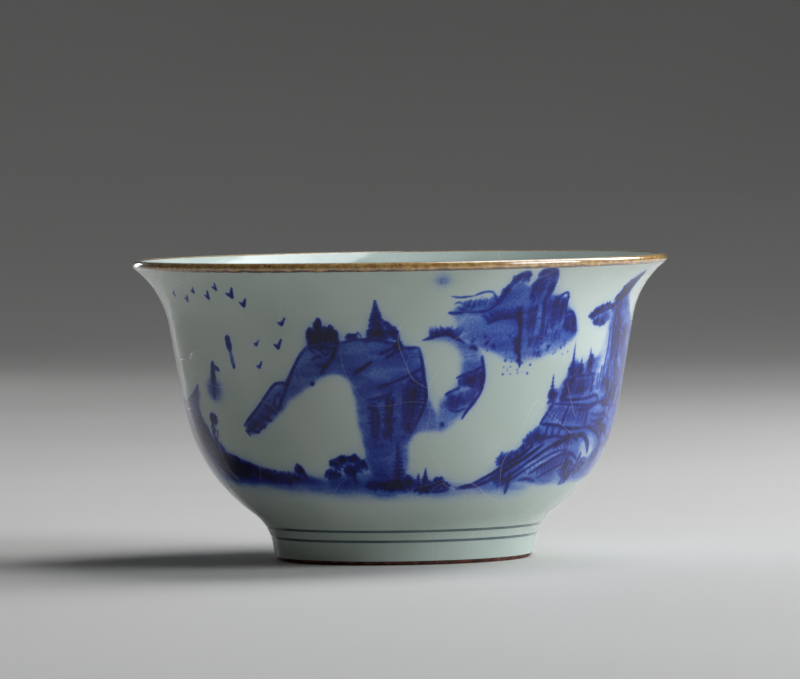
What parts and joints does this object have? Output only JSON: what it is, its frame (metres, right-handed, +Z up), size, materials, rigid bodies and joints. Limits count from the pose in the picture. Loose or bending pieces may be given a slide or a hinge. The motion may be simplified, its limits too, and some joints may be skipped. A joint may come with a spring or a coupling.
{
  "type": "teacup",
  "caption": "Handleless porcelain teacup with a flared lip and a turned foot ring, crackle glazed and painted in underglaze blue.",
  "frame": {"origin": "centre of the circle that the foot ring stands on", "axes": "+Z up along the cup's turning axis; the painting's middle faces -Y, with +X on a viewer's right"},
  "size_m": [0.09, 0.09, 0.0507],
  "materials": {
    "fired_clay": "dense white fired porcelain, hidden by its coats",
    "painted_glaze": "glossy pale celadon crackle glaze over a cobalt blue landscape",
    "plain_glaze": "glossy pale celadon crackle glaze, unpainted",
    "iron_dressing": "glossy mottled iron-brown and gold rim dressing",
    "iron_wash": "dull red-brown iron wash",
    "line_pigment": "dark slate blue painted line under gloss"
  },
  "bodies": {
    "root": {"clay_body": "fired_clay", "outer_glaze": "painted_glaze", "inner_glaze": "plain_glaze", "base_glaze": "plain_glaze", "lip_dressing": "iron_dressing", "foot_wash": "iron_wash", "lower_foot_line": "line_pigment", "upper_foot_line": "line_pigment"}
  },
  "joints": []
}
